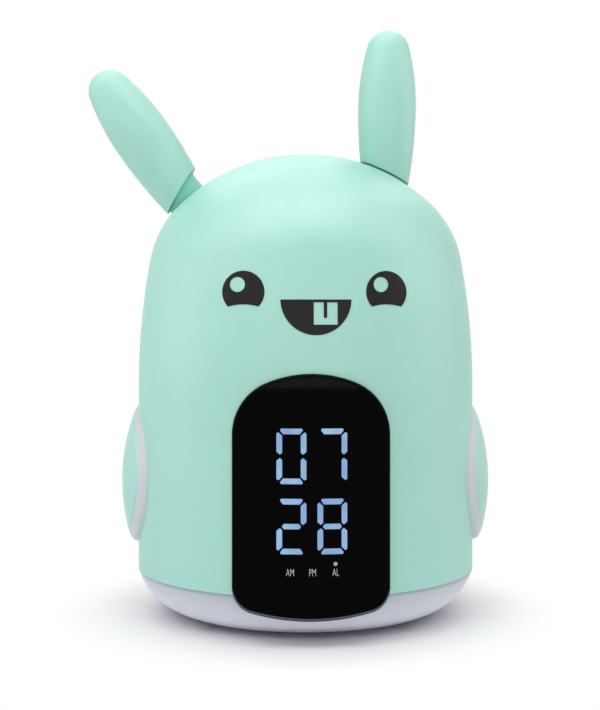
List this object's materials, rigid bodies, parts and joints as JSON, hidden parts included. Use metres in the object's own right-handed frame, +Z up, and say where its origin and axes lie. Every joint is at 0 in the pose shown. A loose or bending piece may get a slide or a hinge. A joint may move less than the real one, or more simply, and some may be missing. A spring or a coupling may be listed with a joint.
{
  "type": "kids alarm clock with night light",
  "caption": "Round dome alarm clock with a smiling face, two tipping ears, a tall digital window, flank push buttons and a pale translucent base that glows as a night light.",
  "frame": {"origin": "on the table, under the middle of the round body, in the plane of the foot ring's underside", "axes": "+Z up, front with the display towards -Y, +X towards the viewer's right"},
  "size_m": [0.1443, 0.1234, 0.2091],
  "materials": {
    "mint": "satin moulded",
    "ear_mint": "satin moulded",
    "translucent": "frosted",
    "pale_ring": "satin",
    "black_lens": "polished",
    "lit_segment": "lit",
    "print_ink": "printed",
    "rubber_foot": "matt",
    "inner_white": "moulded",
    "inner_grey": "moulded",
    "key_mint": "satin",
    "board_green": "solder mask",
    "board_white": "solder mask",
    "component_black": "moulded",
    "led_yellow": "moulded",
    "steel": "zinc plated",
    "spring_steel": "bright",
    "cell_sleeve": "sleeve",
    "magnet_steel": "plated",
    "cone_paper": "pulp"
  },
  "bodies": {
    "casing": {"dome_shell": "mint", "light_base": "translucent", "display_lens": "black_lens", "digit_segments": "lit_segment", "alarm_dot": "lit_segment", "face_print": "print_ink", "side_ring_left": "pale_ring", "side_ring_right": "pale_ring", "foot_ring": "rubber_foot", "battery_tray": "inner_white", "battery_cells": "cell_sleeve", "battery_contacts": "spring_steel", "display_reflector": "inner_white", "display_board": "board_green", "display_leds": "led_yellow", "display_screws": "steel", "main_board": "board_green", "board_parts": "component_black", "board_screws": "steel", "light_board": "board_white", "light_leds": "led_yellow", "ear_deck": "inner_grey", "deck_screws": "steel", "ear_bracket_left": "inner_grey", "ear_bracket_right": "inner_grey", "ear_pin_left": "steel", "ear_pin_right": "steel", "ear_detent_left": "spring_steel", "ear_detent_right": "spring_steel", "ear_switch_left": "component_black", "ear_switch_right": "component_black", "side_spring_left": "spring_steel", "side_spring_right": "spring_steel", "side_switch_left": "component_black", "side_switch_right": "component_black", "speaker_frame": "magnet_steel", "speaker_magnet": "magnet_steel", "speaker_cone": "cone_paper", "rear_panel": "mint", "key_board": "board_green", "key_switches": "component_black", "usb_socket": "steel", "base_screws": "steel"},
    "ear_left": {"ear_shell_left": "ear_mint", "ear_lever_left": "ear_mint"},
    "ear_right": {"ear_shell_right": "ear_mint", "ear_lever_right": "ear_mint"},
    "flank_button_left": {"side_cap_left": "mint"},
    "flank_button_right": {"side_cap_right": "mint"},
    "mode_key": {"mode_button": "key_mint"},
    "sound_key": {"sound_button": "key_mint"},
    "up_key": {"up_button": "key_mint"},
    "down_key": {"down_button": "key_mint"},
    "battery_flap": {"battery_door": "translucent", "door_screw": "steel"}
  },
  "joints": [
    {"name": "ear_left_tilt", "type": "hinge", "parent": "casing", "child": "ear_left", "pos_m": [-0.0257, 0, 0.127], "axis": [0, 1, 0], "range_deg": [0, 33.7]},
    {"name": "ear_right_tilt", "type": "hinge", "parent": "casing", "child": "ear_right", "pos_m": [0.0257, 0, 0.127], "axis": [0, 1, 0], "range_deg": [0, 33.7]},
    {"name": "side_left_press", "type": "slide", "parent": "casing", "child": "flank_button_left", "axis": [0.9991, 0, -0.0419], "range_m": [0, 0.0012], "stiffness_N_per_m": 900, "springref_m": -0.0008},
    {"name": "side_right_press", "type": "slide", "parent": "casing", "child": "flank_button_right", "axis": [-0.9991, 0, -0.0419], "range_m": [0, 0.0012], "stiffness_N_per_m": 900, "springref_m": -0.0008},
    {"name": "mode_press", "type": "slide", "parent": "casing", "child": "mode_key", "axis": [0, -1, 0], "range_m": [0, 0.0008], "stiffness_N_per_m": 1000, "springref_m": -0.0005},
    {"name": "sound_press", "type": "slide", "parent": "casing", "child": "sound_key", "axis": [0, -1, 0], "range_m": [0, 0.0008], "stiffness_N_per_m": 1000, "springref_m": -0.0005},
    {"name": "up_press", "type": "slide", "parent": "casing", "child": "up_key", "axis": [0, -1, 0], "range_m": [0, 0.0008], "stiffness_N_per_m": 1000, "springref_m": -0.0005},
    {"name": "down_press", "type": "slide", "parent": "casing", "child": "down_key", "axis": [0, -1, 0], "range_m": [0, 0.0008], "stiffness_N_per_m": 1000, "springref_m": -0.0005},
    {"name": "battery_door_swing", "type": "hinge", "parent": "casing", "child": "battery_flap", "pos_m": [0, 0.026, 0.001], "axis": [1, 0, 0], "range_deg": [0, 75]}
  ]
}
